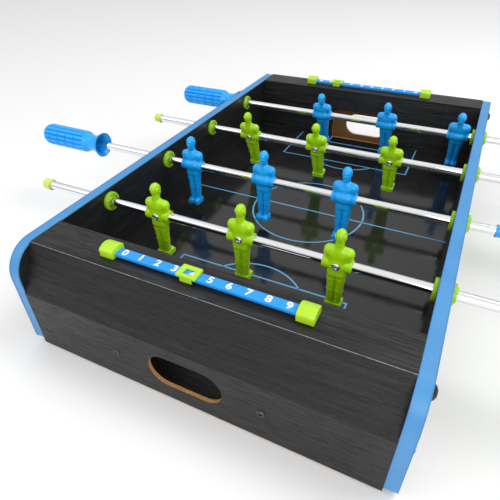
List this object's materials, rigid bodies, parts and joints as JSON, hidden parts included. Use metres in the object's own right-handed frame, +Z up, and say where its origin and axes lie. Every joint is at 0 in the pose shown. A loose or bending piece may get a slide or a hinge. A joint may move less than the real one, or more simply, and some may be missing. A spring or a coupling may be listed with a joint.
{
  "type": "tabletop foosball game",
  "caption": "Tabletop foosball game: a black box with a playfield, goals, sliding and spinning rods with moulded men and grips, score sliders and ball returns.",
  "frame": {"origin": "middle of the table, in the plane that the undersides of its four feet lie in", "axes": "+X along the rods, towards the right of a player at the near end; +Y along the table's length, away from that player; +Z up"},
  "size_m": [0.6055, 0.5106, 0.1152],
  "materials": {
    "black_laminate": "black laminate with an embossed wood grain",
    "blue_edging": "light blue edging strip",
    "playfield_board": "glossy black board with thin light blue lines",
    "raw_board": "raw brown fibreboard",
    "black_screws": "black oxide",
    "foot_rubber": "matt black rubber",
    "chrome": "polished",
    "blue_plastic": "moulded blue plastic, semi-gloss",
    "green_plastic": "moulded lime green plastic, semi-gloss",
    "scorer_blue": "moulded blue plastic with white printed digits",
    "scorer_green": "moulded lime green plastic, satin"
  },
  "bodies": {
    "table": {"side_panel_left": "black_laminate", "side_panel_right": "black_laminate", "edge_band_left": "blue_edging", "edge_band_right": "blue_edging", "playfield": "playfield_board", "end_wall_near": "black_laminate", "end_wall_far": "black_laminate", "end_ledge_near": "black_laminate", "end_ledge_far": "black_laminate", "end_slope_near": "black_laminate", "end_slope_far": "black_laminate", "end_face_near": "black_laminate", "end_face_far": "black_laminate", "trough_floor_near": "black_laminate", "trough_floor_far": "black_laminate", "trough_guides": "raw_board", "corner_gussets": "raw_board", "side_panel_screws": "black_screws", "end_face_screws": "black_screws", "rubber_feet": "foot_rubber", "rod_bushings": "green_plastic", "bushing_rings": "green_plastic", "score_bar_near": "scorer_blue", "score_bar_far": "scorer_blue", "score_end_blocks_near": "scorer_green", "score_end_blocks_far": "scorer_green"},
    "score_slider_near": {"score_slider_near": "scorer_green"},
    "score_slider_far": {"score_slider_far": "scorer_green"},
    "rod_1_sleeves": {"rod_1_sleeves": "green_plastic"},
    "rod_1": {"rod_1_tube": "chrome", "rod_1_handle": "green_plastic", "rod_1_end_cap": "green_plastic", "rod_1_man_left": "green_plastic", "rod_1_man_middle": "green_plastic", "rod_1_man_right": "green_plastic", "rod_1_screws": "chrome"},
    "rod_2_sleeves": {"rod_2_sleeves": "green_plastic"},
    "rod_2": {"rod_2_tube": "chrome", "rod_2_handle": "blue_plastic", "rod_2_end_cap": "blue_plastic", "rod_2_man_left": "blue_plastic", "rod_2_man_middle": "blue_plastic", "rod_2_man_right": "blue_plastic", "rod_2_screws": "chrome"},
    "rod_3_sleeves": {"rod_3_sleeves": "green_plastic"},
    "rod_3": {"rod_3_tube": "chrome", "rod_3_handle": "green_plastic", "rod_3_end_cap": "green_plastic", "rod_3_man_left": "green_plastic", "rod_3_man_middle": "green_plastic", "rod_3_man_right": "green_plastic", "rod_3_screws": "chrome"},
    "rod_4_sleeves": {"rod_4_sleeves": "green_plastic"},
    "rod_4": {"rod_4_tube": "chrome", "rod_4_handle": "blue_plastic", "rod_4_end_cap": "blue_plastic", "rod_4_man_left": "blue_plastic", "rod_4_man_middle": "blue_plastic", "rod_4_man_right": "blue_plastic", "rod_4_screws": "chrome"}
  },
  "joints": [
    {"name": "near_score", "type": "slide", "parent": "table", "child": "score_slider_near", "axis": [1, 0, 0], "range_m": [-0.05365, 0.07245]},
    {"name": "far_score", "type": "slide", "parent": "table", "child": "score_slider_far", "axis": [-1, 0, 0], "range_m": [-0.10445, 0.02165]},
    {"name": "rod_1_spin", "type": "hinge", "parent": "table", "child": "rod_1_sleeves", "pos_m": [0, -0.1425, 0.0842], "axis": [1, 0, 0], "continuous": true},
    {"name": "rod_1_slide", "type": "slide", "parent": "rod_1_sleeves", "child": "rod_1", "axis": [1, 0, 0], "range_m": [-0.0385, 0.0555]},
    {"name": "rod_2_spin", "type": "hinge", "parent": "table", "child": "rod_2_sleeves", "pos_m": [0, -0.0475, 0.0842], "axis": [1, 0, 0], "continuous": true},
    {"name": "rod_2_slide", "type": "slide", "parent": "rod_2_sleeves", "child": "rod_2", "axis": [1, 0, 0], "range_m": [-0.015, 0.079]},
    {"name": "rod_3_spin", "type": "hinge", "parent": "table", "child": "rod_3_sleeves", "pos_m": [0, 0.0475, 0.0842], "axis": [1, 0, 0], "continuous": true},
    {"name": "rod_3_slide", "type": "slide", "parent": "rod_3_sleeves", "child": "rod_3", "axis": [1, 0, 0], "range_m": [-0.037, 0.057]},
    {"name": "rod_4_spin", "type": "hinge", "parent": "table", "child": "rod_4_sleeves", "pos_m": [0, 0.1425, 0.0842], "axis": [1, 0, 0], "continuous": true},
    {"name": "rod_4_slide", "type": "slide", "parent": "rod_4_sleeves", "child": "rod_4", "axis": [1, 0, 0], "range_m": [-0.0935, 0.0005]}
  ]
}
